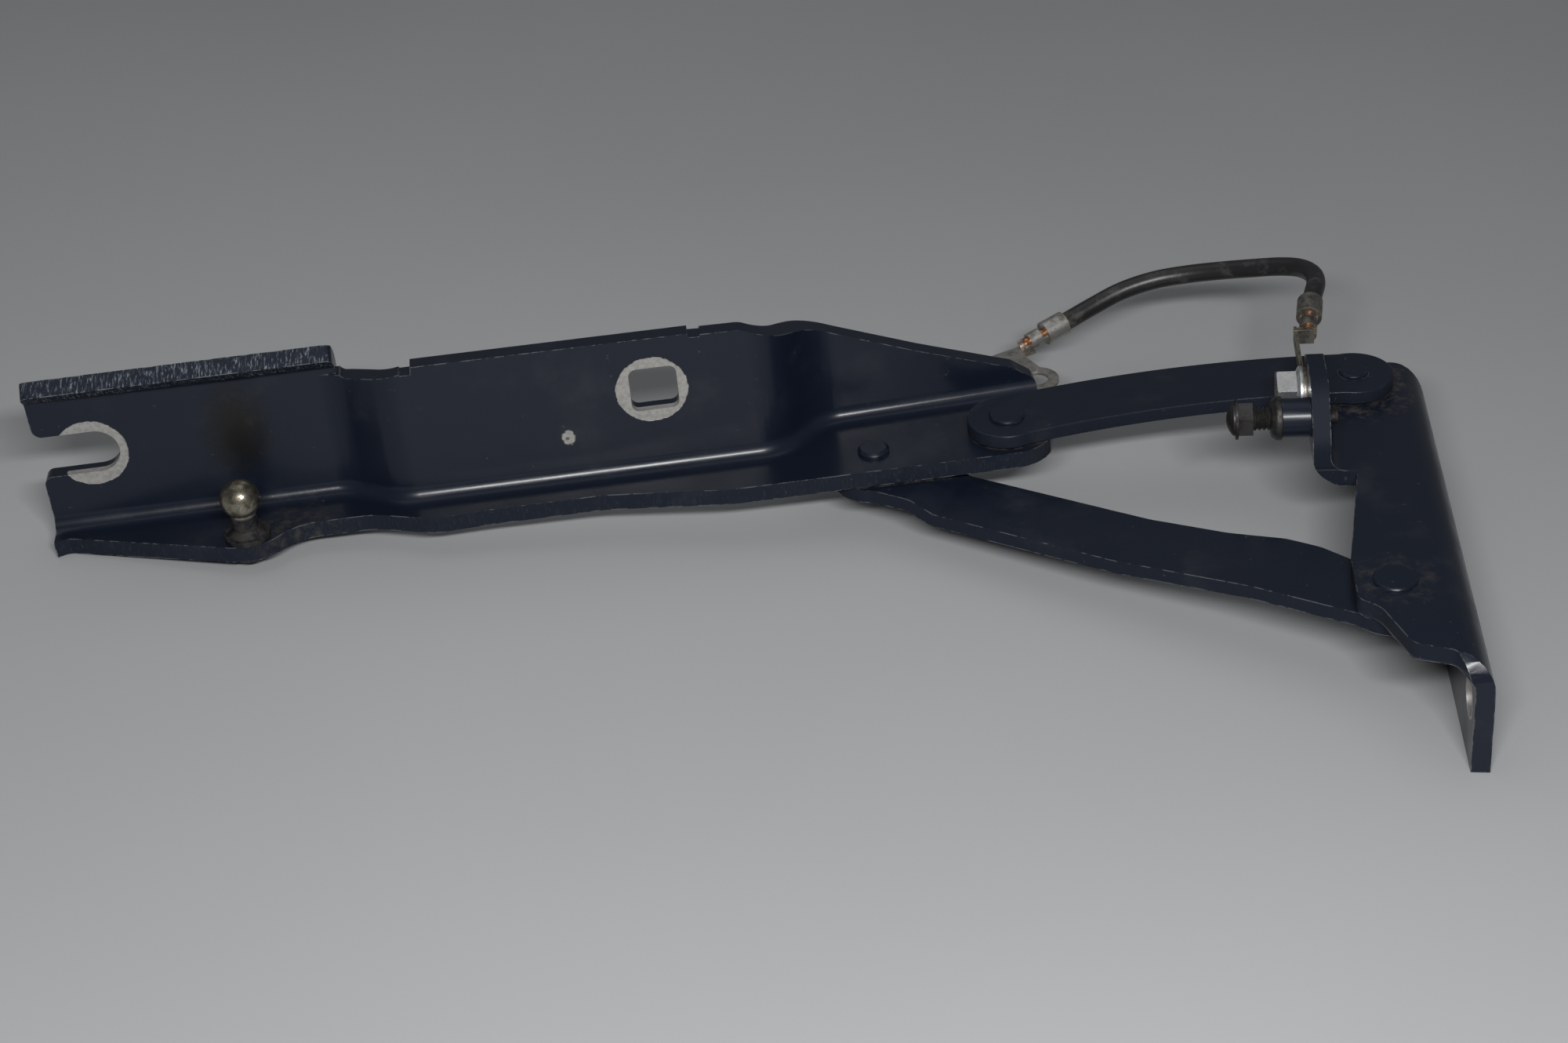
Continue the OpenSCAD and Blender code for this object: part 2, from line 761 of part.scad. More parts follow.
module upper_link() {
    bow_r = upper_len ^ 2 / (8 * upper_bow) + upper_bow / 2;
    bow_a = 2 * asin(upper_len / 2 / bow_r);
    color(paint)
        translate([pivot_a.x, pivot_a.y, upper_base])
            rotate([0, 0, upper_angle])
                difference() {
                    linear_extrude(link_t)
                        union() {
                            for (x = [0, upper_len])
                                translate([x, 0])
                                    circle(upper_eye_r);
                            translate([upper_len / 2, bow_r - upper_bow])
                                rotate(-90 - bow_a / 2)
                                    ring_sector(bow_r - upper_w / 2, upper_w, bow_a);
                        }
                    for (x = [0, upper_len])
                        translate([x, 0, -1])
                            cylinder(r = bush_r, h = link_t + 2);
                }
}

module upper_body_bush() {
    color(bush_bronze)
        translate(pivot_a)
            bush(plate_top);
}

module upper_arm_bush() {
    color(bush_bronze)
        translate(pivot_b)
            bush(plate_top);
}

// Rivet at the upper body pivot, headed over the link
module upper_body_rivet() {
    color(paint)
        translate(pivot_a) {
            rivet_base(plate_base, upper_top + head_gap);
            formed_head(upper_top + head_gap, upper_body_head_d, low_head_h);
        }
}

// Rivet at the upper arm pivot, headed over the link
module upper_arm_rivet() {
    color(paint)
        translate(pivot_b) {
            rivet_base(plate_base, upper_top + head_gap);
            formed_head(upper_top + head_gap, upper_arm_head_d, low_head_h);
        }
}

// Lower link: level at the bracket, then a long ramp down and a short ramp up to the arm
module lower_link() {
    down_r = ramp_r + link_t / 2;
    down = joggle_run(lower_drop, ramp_a, down_r);
    down_len = 2 * down_r * sin(ramp_a) + down * cos(ramp_a);
    up_r = lower_bend_r + link_t / 2;
    up = joggle_run(lower_drop, lower_bend_a, up_r);
    up_len = 2 * up_r * sin(lower_bend_a) + up * cos(lower_bend_a);
    eye_run = lower_eye_r + 3;
    rows = [
        [lower_eye_r + ramp_start, -ramp_a, ramp_r], [down, ramp_a, ramp_r],
        [lower_len - ramp_start - down_len - up_len - eye_run, lower_bend_a, lower_bend_r],
        [up, -lower_bend_a, lower_bend_r], [lower_eye_r + eye_run, 0, 0]
    ];
    color(paint)
        translate([pivot_d.x, pivot_d.y, 0])
            rotate([0, 0, lower_angle])
                difference() {
                    intersection() {
                        translate([-lower_eye_r, clear / 2, lower_top])
                            rotate([90, 0, 0])
                                linear_extrude(clear)
                                    polygon(sheet_band(rows, link_t));
                        translate([0, 0, -clear])
                            linear_extrude(2 * clear)
                                lower_plan();
                    }
                    for (x = [0, lower_len])
                        translate([x, 0, lower_base - 1])
                            cylinder(r = bush_r, h = link_t + 2);
                }
}

// Plan outline of the lower link, with its eyes and the swelling on its far edge
module lower_plan() {
    near = lower_w / 2 - lower_shift;
    far = -lower_w / 2 - lower_shift;
    swell = far - lower_swell;
    for (x = [0, lower_len])
        translate([x, 0])
            circle(lower_eye_r);
    polygon(rounded([[0, far + 0.8, 0], [ramp_start - 18, far + 0.8, 10], [ramp_start - 7, swell, 10],
        [ramp_start + 2, swell, 10], [ramp_start + 16, far, 20], [lower_len, far + 0.4, 0],
        [lower_len, near, 0], [0, near, 0]]));
}

// Flanged bush turned over, for the link that hangs below the sheet
module hanging_bush() {
    translate([0, 0, plate_base])
        mirror([0, 0, 1])
            bush(0);
}

module lower_body_bush() {
    color(bush_bronze)
        translate(pivot_d)
            hanging_bush();
}

module lower_arm_bush() {
    color(bush_bronze)
        translate(pivot_c)
            hanging_bush();
}

// Rivet at the lower body pivot, headed on the bracket
module lower_body_rivet() {
    color(paint)
        translate(pivot_d) {
            rivet_base(lower_base - head_gap, plate_top);
            formed_head(plate_top, lower_body_head_d, low_head_h);
        }
}

// Lower half of the rivet at the lower arm pivot, carried by the link
module lower_arm_rivet() {
    color(paint)
        translate(pivot_c)
            rivet_base(lower_base, plate_base - split_gap);
}

// Upper half of the rivet at the lower arm pivot, headed on the arm
module lower_arm_rivet_head() {
    color(paint)
        translate(pivot_c) {
            translate([0, 0, plate_base])
                cylinder(d = rivet_d, h = sheet_t);
            formed_head(plate_top, lower_arm_head_d, tall_head_h);
        }
}

// Bonnet arm in its own frame: upper pivot at the origin, flange top at zero, slotted end towards -X

// Plan path of the wall's inner face, from the slotted end to the tip, with a trim at both ends
trim = 2;
lip_root = 1;
lap = 0.5;
mouth_lap = 0.05;
wall_path = [
    [arm_len + trim - end_joggle_x, -end_joggle_a, joggle_r],
    [joggle_run(end_offset, end_joggle_a, joggle_r), end_joggle_a, joggle_r],
    [end_joggle_x - pivot_joggle_x - joggle_span(end_offset, end_joggle_a), pivot_joggle_a, joggle_r],
    [joggle_run(pivot_offset, pivot_joggle_a, joggle_r), tip_slope - pivot_joggle_a, joggle_r],
    [pivot_joggle_x - joggle_span(pivot_offset, pivot_joggle_a) + arm_tip + trim, 0, 0]
];
function joggle_span(offset, a) = 2 * joggle_r * sin(a) + joggle_run(offset, a, joggle_r) * cos(a);

wall_start = [-arm_len - trim, mid_wall_y + end_offset];
function wall_line(off) = moved(sheet_face(wall_path, off, 0), wall_start);

// Quarter circle of the bend between flange and wall, from the flange to the wall
function bend_arc(r) =
    [for (k = [0:bend_steps]) [r * sin(90 * k / bend_steps) - bend_r, bend_r - r * cos(90 * k / bend_steps)]];

module arm_bend() {
    translate(wall_start)
        swept(wall_path, bend_arc(bend_out), bend_arc(bend_r));
}

// Stiffening lip along the top of the slotted end, bent towards the ball stud, trimmed to rounded corners
module arm_lip() {
    run = arm_len - end_joggle_x + lip_over;
    reach = lip_root * cos(lip_a) + lip_r * sin(lip_a) + lip_w;
    translate([-arm_len, mid_wall_y + end_offset, lip_z - lip_root])
        intersection() {
            translate([-trim, 0, 0])
                rotate([90, 0, 90])
                    linear_extrude(run + 2 * trim)
                        rotate(90)
                            polygon(sheet_band([[lip_root, lip_a, lip_r], [lip_w + trim, 0, 0]], sheet_t));
            rotate([90 + lip_a, 0, 0])
                translate([0, 0, -clear / 2])
                    linear_extrude(clear)
                        polygon(rounded([[0, -clear / 2, 0], [run, -clear / 2, 0],
                            [run, reach, lip_corner], [0, reach, lip_corner]]));
        }
}

// Front outline of the wall, X along the arm and Y up
module arm_front() {
    base = -sheet_t - 1;
    mouth = slot_w / 2 - mouth_lap;
    mouth_end = -arm_len + 2 * prong_r;
    lip_base = lip_z - lip_root;
    lip_end = lip_over - end_joggle_x + 1;
    step = lip_end + recess_len - 1;
    notch = [-notch_x - notch_w / 2, -notch_x + notch_w / 2];
    knee = wall_h - 1.1;
    polygon(rounded([
        [-arm_len, base, 0],
        [-arm_len, bonnet_bolt_z - mouth, prong_r], [mouth_end, bonnet_bolt_z - mouth, 0],
        [mouth_end, bonnet_bolt_z + mouth, 0], [-arm_len, bonnet_bolt_z + mouth, prong_r],
        [-arm_len, lip_base, 0], [lip_end, lip_base, 0], [lip_end + 0.6, lip_base - 0.9, 2],
        [step - 3, wall_h - 1.7, 0], [step - 2.8, wall_h - 2.1, 0], [step - 0.2, wall_h - 2.1, 0],
        [step, wall_h, 0],
        [notch[0], wall_h - 0.3, 0], [notch[0], wall_h - 1.4, 0.3], [notch[1], wall_h - 1.5, 0.3],
        [notch[1], wall_h - 0.9, 0], [-pivot_joggle_x - 1, knee, 6],
        [-pivot_joggle_x / 2 - 9, slope_z, 40], [-0.3 * pivot_joggle_x, (slope_z + nose_z) / 2 - 1.4, 30],
        [5, nose_z - 2.8, 4], [arm_tip, 3, 4], [arm_tip, base, 0]
    ]));
}

// Plan outline of the flange, run into the bend
module arm_flange() {
    end_y = mid_wall_y + end_offset - 5.4;
    ear = ball_y - ball_edge;
    waist = mid_wall_y - waist_w;
    belly = mid_wall_y - belly_w;
    polygon(rounded(concat([
        [-arm_len - trim, mid_wall_y, 0], [-arm_len + 3, end_y, 4],
        [-ball_x - 3.5, ear, 8], [-ball_x + 4.5, ear, 7], [-ball_x + 12.5, waist, 14],
        [-end_joggle_x + 9, waist, 20], [-end_joggle_x + 24, belly - 0.8, 14],
        [-end_joggle_x + 38, belly, 20], [-pivot_joggle_x - 40, belly, 30],
        [-pivot_joggle_x - 8, -pivot_edge, 30], [-arm_pivot_gap, -pivot_edge, 0], [arm_tip, -pivot_edge, 11]],
        [for (p = reversed(wall_line(lap - bend_r))) [p.x, p.y, 0]])));
}

// Slot and square hole for the bonnet bolts, cut through the wall along Y
module arm_bolt_holes() {
    rotate([90, 0, 0])
        translate([0, 0, -clear / 2])
            linear_extrude(clear) {
                translate([-slot_x, bonnet_bolt_z])
                    circle(d = slot_w);
                translate([-arm_len - 1, bonnet_bolt_z - slot_w / 2])
                    square([arm_len + 1 - slot_x, slot_w]);
                half = square_w / 2;
                translate([-square_x, bonnet_bolt_z + square_rise])
                    polygon(rounded([for (c = [[-1, -1], [1, -1], [1, 1], [-1, 1]])
                        [half * c.x, half * c.y, 2]]));
            }
}

module bonnet_arm() {
    color(paint)
        translate([pivot_b.x, pivot_b.y, plate_top])
            rotate([0, 0, arm_angle])
                difference() {
                    union() {
                        intersection() {
                            union() {
                                translate([0, 0, bend_r - lap])
                                    linear_extrude(wall_h)
                                        polygon(concat(wall_line(0), reversed(wall_line(sheet_t))));
                                translate([0, 0, -sheet_t])
                                    linear_extrude(sheet_t)
                                        arm_flange();
                                arm_bend();
                            }
                            rotate([90, 0, 0])
                                translate([0, 0, -clear / 2])
                                    linear_extrude(clear)
                                        arm_front();
                        }
                        arm_lip();
                    }
                    arm_bolt_holes();
                    translate([0, 0, -sheet_t - 1])
                        cylinder(d = rivet_d, h = sheet_t + 2);
                    rotate([0, 0, arm_pivot_slope])
                        translate([-arm_pivot_gap, 0, -sheet_t - 1])
                            cylinder(d = rivet_d, h = sheet_t + 2);
                    translate([-ball_x, ball_y, -sheet_t - 1])
                        cylinder(d = stud_d, h = sheet_t + 2);
                }
}

// Ball stud for the gas strut, riveted through the flange
module ball_stud() {
    tail_d = stud_d + 3;
    tail_h = 1.2;
    color(bare_steel)
        translate([pivot_b.x, pivot_b.y, plate_top])
            rotate([0, 0, arm_angle])
                translate([-ball_x, ball_y, 0]) {
                    translate([0, 0, ball_rise])
                        sphere(d = ball_d);
                    cylinder(d = neck_d, h = ball_rise);
                    cylinder(d = collar_d, h = collar_h);
                    translate([0, 0, collar_h])
                        cylinder(d1 = collar_d - 2, d2 = neck_d, h = 1.2);
                    translate([0, 0, -sheet_t])
                        cylinder(d = stud_d, h = sheet_t);
                    translate([0, 0, -sheet_t - tail_h])
                        cylinder(d1 = tail_d - 1.6, d2 = tail_d, h = tail_h);
                }
}

body_bracket();
stop_boss();
stop_bolt();
stop_lock_nut();
earth_bolt();
body_terminal();
body_conductor();
earth_cable();
bonnet_terminal();
bonnet_conductor();
upper_body_rivet();
lower_body_rivet();
upper_link();
upper_body_bush();
upper_arm_bush();
lower_link();
lower_body_bush();
lower_arm_bush();
lower_arm_rivet();
bonnet_arm();
lower_arm_rivet_head();
upper_arm_rivet();
ball_stud();
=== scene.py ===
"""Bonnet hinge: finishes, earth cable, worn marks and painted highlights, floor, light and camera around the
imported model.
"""

import json
import math

import bmesh
import bpy
from mathutils import Matrix, Vector


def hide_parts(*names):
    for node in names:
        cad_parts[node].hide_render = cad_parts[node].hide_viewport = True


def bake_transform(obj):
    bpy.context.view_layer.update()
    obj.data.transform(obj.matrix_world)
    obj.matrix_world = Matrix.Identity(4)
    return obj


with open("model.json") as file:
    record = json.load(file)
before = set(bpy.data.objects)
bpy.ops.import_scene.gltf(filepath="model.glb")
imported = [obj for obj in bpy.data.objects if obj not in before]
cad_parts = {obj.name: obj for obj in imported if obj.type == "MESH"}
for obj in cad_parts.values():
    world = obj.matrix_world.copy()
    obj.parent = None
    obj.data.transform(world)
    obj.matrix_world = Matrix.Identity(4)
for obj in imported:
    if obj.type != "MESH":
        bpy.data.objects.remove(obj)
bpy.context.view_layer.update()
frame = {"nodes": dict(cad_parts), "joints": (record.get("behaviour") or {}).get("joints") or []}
nodes = frame["nodes"]
pivots = {joint["name"]: Vector(joint["pos_m"]) for joint in frame["joints"]}
scene = bpy.context.scene
scene.view_settings.view_transform = "Standard"
MM = 0.001

# Camera of the photograph

IMAGE_W = 2000
FOCAL_PX = 3500
SENSOR_MM = 36
CAM_TARGET = Vector((-162, 58.1, 14.9)) * MM
CAM_DIST = 673.1 * MM
CAM_PITCH, CAM_ROLL, CAM_YAW = (math.radians(a) for a in (33, 5.7, -7))
CAM_CLIP = 10 * MM


def camera_axes():
    """Right, up and forward of the photograph's camera in the shared frame."""
    ahead = Vector((math.sin(CAM_YAW) * math.cos(CAM_PITCH), math.cos(CAM_YAW) * math.cos(CAM_PITCH),
                    -math.sin(CAM_PITCH)))
    level = Vector((math.cos(CAM_YAW), -math.sin(CAM_YAW), 0))
    above = level.cross(ahead)
    right = math.cos(CAM_ROLL) * level - math.sin(CAM_ROLL) * above
    up = math.sin(CAM_ROLL) * level + math.cos(CAM_ROLL) * above
    return right, up, ahead


def add_camera():
    """Camera that sees the part as the photograph does."""
    right, up, ahead = camera_axes()
    data = bpy.data.cameras.new("photo_camera")
    data.sensor_width = SENSOR_MM
    data.lens = FOCAL_PX / IMAGE_W * SENSOR_MM
    data.clip_start = CAM_CLIP
    camera = bpy.data.objects.new("photo_camera", data)
    turn = Matrix((right, up, -ahead)).transposed().to_4x4()
    camera.matrix_world = Matrix.Translation(CAM_TARGET - ahead * CAM_DIST) @ turn
    scene.collection.objects.link(camera)
    scene.camera = camera


add_camera()

# Meshes


def new_object(name, bm, smooth=True):
    """Object from a bmesh, in the shared frame."""
    bmesh.ops.recalc_face_normals(bm, faces=bm.faces)
    mesh = bpy.data.meshes.new(name)
    bm.to_mesh(mesh)
    bm.free()
    for face in mesh.polygons:
        face.use_smooth = smooth
    obj = bpy.data.objects.new(name, mesh)
    scene.collection.objects.link(obj)
    return obj


def smooth_path(points, steps):
    """Catmull-Rom curve through points, with steps pieces between neighbours."""
    ends = [2 * points[0] - points[1], *points, 2 * points[-1] - points[-2]]
    path = []
    for a, b, c, d in zip(ends, ends[1:], ends[2:], ends[3:]):
        for k in range(steps):
            t = k / steps
            path.append(0.5 * (2 * b + (c - a) * t + (2 * a - 5 * b + 4 * c - d) * t * t
                               + (3 * b - 3 * c + d - a) * t ** 3))
    return path + [points[-1]]


def tube(bm, path, radius, sides):
    """Closed round tube along path."""
    side = Vector((0, 0, 1))
    rings = []
    last = len(path) - 1
    for i, p in enumerate(path):
        ahead = (path[min(i + 1, last)] - path[max(i - 1, 0)]).normalized()
        side = (side - ahead * side.dot(ahead)).normalized()
        across = ahead.cross(side)
        ring = []
        for k in range(sides):
            turn = 2 * math.pi * k / sides
            ring.append(bm.verts.new(p + radius * (math.cos(turn) * side + math.sin(turn) * across)))
        rings.append(ring)
    for a, b in zip(rings, rings[1:]):
        for k in range(sides):
            bm.faces.new((a[k], a[(k + 1) % sides], b[(k + 1) % sides], b[k]))
    bm.faces.new(reversed(rings[0]))
    bm.faces.new(rings[-1])


WELD_REACH = 0.005 * MM
EDGE_ANGLE = math.radians(30)
EDGE_SEGMENTS = 2
SHADING_WEIGHT = 90


def soften(name, edge_width):
    """Rounded, smoothly shaded edges on a CAD node."""
    node = nodes[name]
    for face in node.data.polygons:
        face.use_smooth = True
    for layer in ("sharp_edge", "custom_normal"):
        if layer in node.data.attributes:
            node.data.attributes.remove(node.data.attributes[layer])
    node.modifiers.new("joined_faces", "WELD").merge_threshold = WELD_REACH
    bevel = node.modifiers.new("rounded_edges", "BEVEL")
    bevel.width = edge_width
    bevel.segments = EDGE_SEGMENTS
    bevel.limit_method = "ANGLE"
    bevel.angle_limit = EDGE_ANGLE
    node.modifiers.new("even_shading", "WEIGHTED_NORMAL").weight = SHADING_WEIGHT


PRESSED = ("body_bracket", "upper_link", "lower_link", "bonnet_arm")
RIVETS = ("upper_body_rivet", "lower_body_rivet", "upper_arm_rivet", "lower_arm_rivet",
          "lower_arm_rivet_head")
BUSHES = ("upper_body_bush", "upper_arm_bush", "lower_body_bush", "lower_arm_bush")
TURNED = ("stop_boss", "stop_lock_nut", "earth_bolt", *RIVETS, "ball_stud")
SMALL = ("stop_bolt", "body_terminal", "bonnet_terminal")
EDGE_WIDTHS = ((PRESSED, 0.35 * MM), (TURNED, 0.18 * MM), (SMALL, 0.08 * MM))

for names, edge_width in EDGE_WIDTHS:
    for name in names:
        soften(name, edge_width)

# Earth cable

CABLE_D = 5 * MM
CABLE_STEPS = 6
CABLE_SIDES = 24
ROUTE = [Vector(p) * MM for p in (
    (-29, 127, 28), (-28.4, 131.5, 28.6), (-27, 137, 29), (-25.8, 143, 29), (-26.2, 149, 28.4),
    (-29, 154.4, 27.4), (-34, 158.6, 25.8), (-41, 162.4, 23.6), (-49, 166, 21.3), (-58, 168.4, 19.3),
    (-67, 168.8, 17.7), (-76, 167, 15.7), (-84, 163.6, 13.2), (-91, 159.6, 11.2), (-97, 155.8, 9.9))]


def add_cable():
    """Jacket of the earth cable, bending from the bracket to the upper link."""
    path = smooth_path(ROUTE, CABLE_STEPS)
    bm = bmesh.new()
    tube(bm, path, CABLE_D / 2, CABLE_SIDES)
    cable = new_object("earth_cable_jacket", bm)
    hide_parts("earth_cable")
    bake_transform(cable)
    return cable


cable = add_cable()

# Materials

# Sockets of the colour mix node, whose names repeat for other kinds of data
MIX_A, MIX_B, MIX_RESULT = 6, 7, 2

EDGE_SAMPLES = 6
CORNER_SAMPLES = 8
RAGGED_SIZE = 1.4 * MM
UPRIGHT = (0.6, 0.4)


class Shader:
    """A material's node tree, built up by short calls."""

    def __init__(self, name):
        self.material = bpy.data.materials.new(name)
        self.material.use_nodes = True
        self.tree = self.material.node_tree
        self.bsdf = self.tree.nodes["Principled BSDF"]
        surface = self.node("ShaderNodeTexCoord").outputs
        self.place, self.facing = surface["Object"], surface["Normal"]

    def node(self, kind, settings=(), **inputs):
        """New node. An input is named, with _ for a space, or numbered, as in _0."""
        made = self.tree.nodes.new(kind)
        for key, value in dict(settings).items():
            setattr(made, key, value)
        for key, value in inputs.items():
            numbered = key[1:].isdigit()
            self.plug(made.inputs[int(key[1:]) if numbered else key.replace("_", " ")], value)
        return made

    def plug(self, socket, value):
        """Link a socket to a socket, or set its constant."""
        if isinstance(value, bpy.types.NodeSocket):
            self.tree.links.new(value, socket)
        elif socket.type == "RGBA" and len(value) == 3:
            socket.default_value = (*value, 1)
        else:
            socket.default_value = value

    def set(self, **inputs):
        """Inputs of the surface itself."""
        for key, value in inputs.items():
            self.plug(self.bsdf.inputs[key.replace("_", " ")], value)

    def math(self, operation, a, b=0.0):
        """Result of an operation on one or two values."""
        return self.node("ShaderNodeMath", {"operation": operation}, _0=a, _1=b).outputs[0]

    def most(self, *shares):
        """Largest of several shares."""
        best = shares[0]
        for share in shares[1:]:
            best = self.math("MAXIMUM", best, share)
        return best

    def both(self, *shares):
        """Product of several shares."""
        kept = shares[0]
        for share in shares[1:]:
            kept = self.math("MULTIPLY", kept, share)
        return kept

    def noise(self, size, detail=3.0, rough=0.5, place=None):
        """Noise whose features are about size metres across."""
        return self.node("ShaderNodeTexNoise", Vector=place or self.place, Scale=1 / size, Detail=detail,
                         Roughness=rough).outputs["Fac"]

    def stretched(self, scale):
        """Coordinates scaled along their axes, for streaks."""
        return self.node("ShaderNodeMapping", Vector=self.place, Scale=scale).outputs["Vector"]

    def frame_at(self, origin, turn=0.0):
        """Coordinates along the axes of a frame at origin, turned about Z, as three sockets."""
        placed = self.node("ShaderNodeMapping", {"vector_type": "TEXTURE"}, Vector=self.place,
                           Location=origin, Rotation=(0, 0, turn)).outputs["Vector"]
        return self.node("ShaderNodeSeparateXYZ", Vector=placed).outputs

    def faces(self, axis):
        """How far the surface faces along an axis, as a socket."""
        return self.node("ShaderNodeSeparateXYZ", Vector=self.facing).outputs["XYZ".index(axis)]

    def upright(self):
        """Share 1 on an upright surface, 0 on a level one."""
        return self.ramp(self.math("ABSOLUTE", self.faces("Z")), *UPRIGHT)

    def ramp(self, value, low, high, to_low=0.0, to_high=1.0):
        """Smooth step of value from low to high, or down when high is the smaller."""
        made = self.node("ShaderNodeMapRange", {"interpolation_type": "SMOOTHSTEP"}, Value=value,
                         From_Min=low, From_Max=high, To_Min=to_low, To_Max=to_high)
        return made.outputs["Result"]

    def spot(self, a, b, centre, radius, edge, ragged=0.0, squeeze=1.0):
        """Share 1 inside a round spot in the plane of a and b, 0 outside. Its rim may be ragged."""
        da = self.math("SUBTRACT", a, centre[0])
        db = self.both(self.math("SUBTRACT", b, centre[1]), squeeze)
        out = self.math("SQRT", self.math("ADD", self.both(da, da), self.both(db, db)))
        if ragged:
            uneven = self.ramp(self.noise(RAGGED_SIZE, 3, 0.6), 0.3, 0.7, -ragged, ragged)
            out = self.math("ADD", out, uneven)
        return self.ramp(out, radius + edge, radius - edge)

    def mix(self, share, a, b):
        """Colour a where share is 0 and colour b where it is 1."""
        made = self.node("ShaderNodeMix", {"data_type": "RGBA"}, Factor=share)
        self.plug(made.inputs[MIX_A], a)
        self.plug(made.inputs[MIX_B], b)
        return made.outputs[MIX_RESULT]

    def bump(self, height, depth, strength, under=None):
        """Normal of a height map that is depth metres deep, over another bump if one is given."""
        made = self.node("ShaderNodeBump", Height=height, Distance=depth, Strength=strength)
        if under:
            self.plug(made.inputs["Normal"], under)
        return made.outputs["Normal"]

    def edges(self, radius):
        """Share of wear: 1 on a sharp edge, 0 on a flat face."""
        soft = self.node("ShaderNodeBevel", {"samples": EDGE_SAMPLES}, Radius=radius).outputs["Normal"]
        true = self.node("ShaderNodeNewGeometry").outputs["Normal"]
        same = self.node("ShaderNodeVectorMath", {"operation": "DOT_PRODUCT"}, _0=soft, _1=true)
        return self.math("SUBTRACT", 1.0, same.outputs["Value"])

    def crevice(self, reach):
        """Share of dirt: 1 deep in a corner, 0 in the open."""
        sight = self.node("ShaderNodeAmbientOcclusion", {"samples": CORNER_SAMPLES}, Distance=reach)
        return self.ramp(sight.outputs["AO"], 0.55, 0.15)


PAINT = (0.0055, 0.0085, 0.0170)
PAINT_DUST = (0.070, 0.072, 0.076)
PAINT_COAT = 0.24
DIRT = (0.060, 0.052, 0.042)
GREASE = (0.005, 0.005, 0.005)
BARE = (0.40, 0.39, 0.37)
BARE_DULL = (0.30, 0.295, 0.28)
WORN_EDGE = (0.24, 0.25, 0.27)
# Painted highlight: pale bluish grey streaks on sheared edges that stand in for glints of light
PAINTED_HIGHLIGHT = (0.18, 0.21, 0.24)
BOLT_STEEL = (0.075, 0.073, 0.072)
BOLT_STAIN = (0.028, 0.026, 0.024)
ZINC = (0.62, 0.64, 0.66)
ZINC_STAIN = (0.40, 0.40, 0.38)
TIN = (0.46, 0.45, 0.43)
TIN_STAIN = (0.20, 0.185, 0.16)
GRIMY_TIN = (0.24, 0.23, 0.21)
GRIMY_STAIN = (0.07, 0.063, 0.055)
BRASS = (0.50, 0.36, 0.17)
BALL_STEEL = (0.33, 0.31, 0.25)
BALL_STAIN = (0.11, 0.10, 0.075)
BALL_RUST = (0.055, 0.040, 0.024)
NECK_GRIME = (0.006, 0.007, 0.010)
NECK_STAIN = (0.026, 0.024, 0.021)
JACKET = (0.010, 0.010, 0.011)
JACKET_DUST = (0.085, 0.080, 0.073)
COPPER = (0.62, 0.27, 0.13)
COPPER_STAIN = (0.20, 0.11, 0.07)

# Frame of the bonnet arm: X along it, Y into its wall, Z up from the top of its flange
ARM_FLANGE_TOP = 15 * MM
ARM_ORIGIN = Vector((*pivots["upper_arm_pivot"].xy, ARM_FLANGE_TOP))
ARM_TURN = math.radians(10)

# Marks on the arm, at places along it and up. A FRONT pair keeps a mark to the front of the wall
RING_R = 9.1 * MM
SLOT_AT = (-229.7 * MM, 20.7 * MM)
SLOT_FRONT = (13.2 * MM, 12.6 * MM)
SQUARE_AT = (-88.5 * MM, 23.3 * MM)
SQUARE_FRONT = (5.2 * MM, 4.6 * MM)
STOP_AT = (-110.8 * MM, 12.3 * MM)
STOP_R = 1.6 * MM
STOP_FRONT = (4.0 * MM, 3.6 * MM)
CRATER_AT = (-111.1 * MM, 12.2 * MM)
CRATER_R = 0.5 * MM
GREASE_AT = (-193 * MM, 22 * MM)
GREASE_R = 6.5 * MM
GREASE_FRONT = (13 * MM, 12 * MM)
# Lip and flange rim: sheared faces of the arm, where pale painted highlights stand in for glints
LIP_FOOT = (36.5 * MM, 37.5 * MM)
LIP_END = (-163 * MM, -164 * MM)
LIP_FACING = (-0.3, -0.5)
FLANGE_RIM = (0.3 * MM, 0.0)
FLANGE_FACING = (-0.2, -0.4)
FLANGE_PAINTED_GLINT = 0.06

# Soil on the arm's flange, at a place along it and into its wall
SOIL_AT = (-181 * MM, -3 * MM)
SOIL_R = 8 * MM
SOIL_TOP = (4 * MM, 2 * MM)

# Marks on the bracket, its holes at places along Y and Z
HOLES_AT = ((0, 0), (92 * MM, 0))
HOLE_RIM_R = 5.3 * MM
BODY_FLANGE = (-6 * MM, -5 * MM)
UPPER_SOIL_R = 15.5 * MM
LOWER_SOIL_R = 9 * MM
LOWER_SOIL = 0.6
PLATE_FOOT = (10.8 * MM, 11.4 * MM)
PLATE_TOP = (15.4 * MM, 15.2 * MM)
TAB_FOOT = (15.6 * MM, 16.4 * MM)
TAB_FACING = (0.7, 0.5)


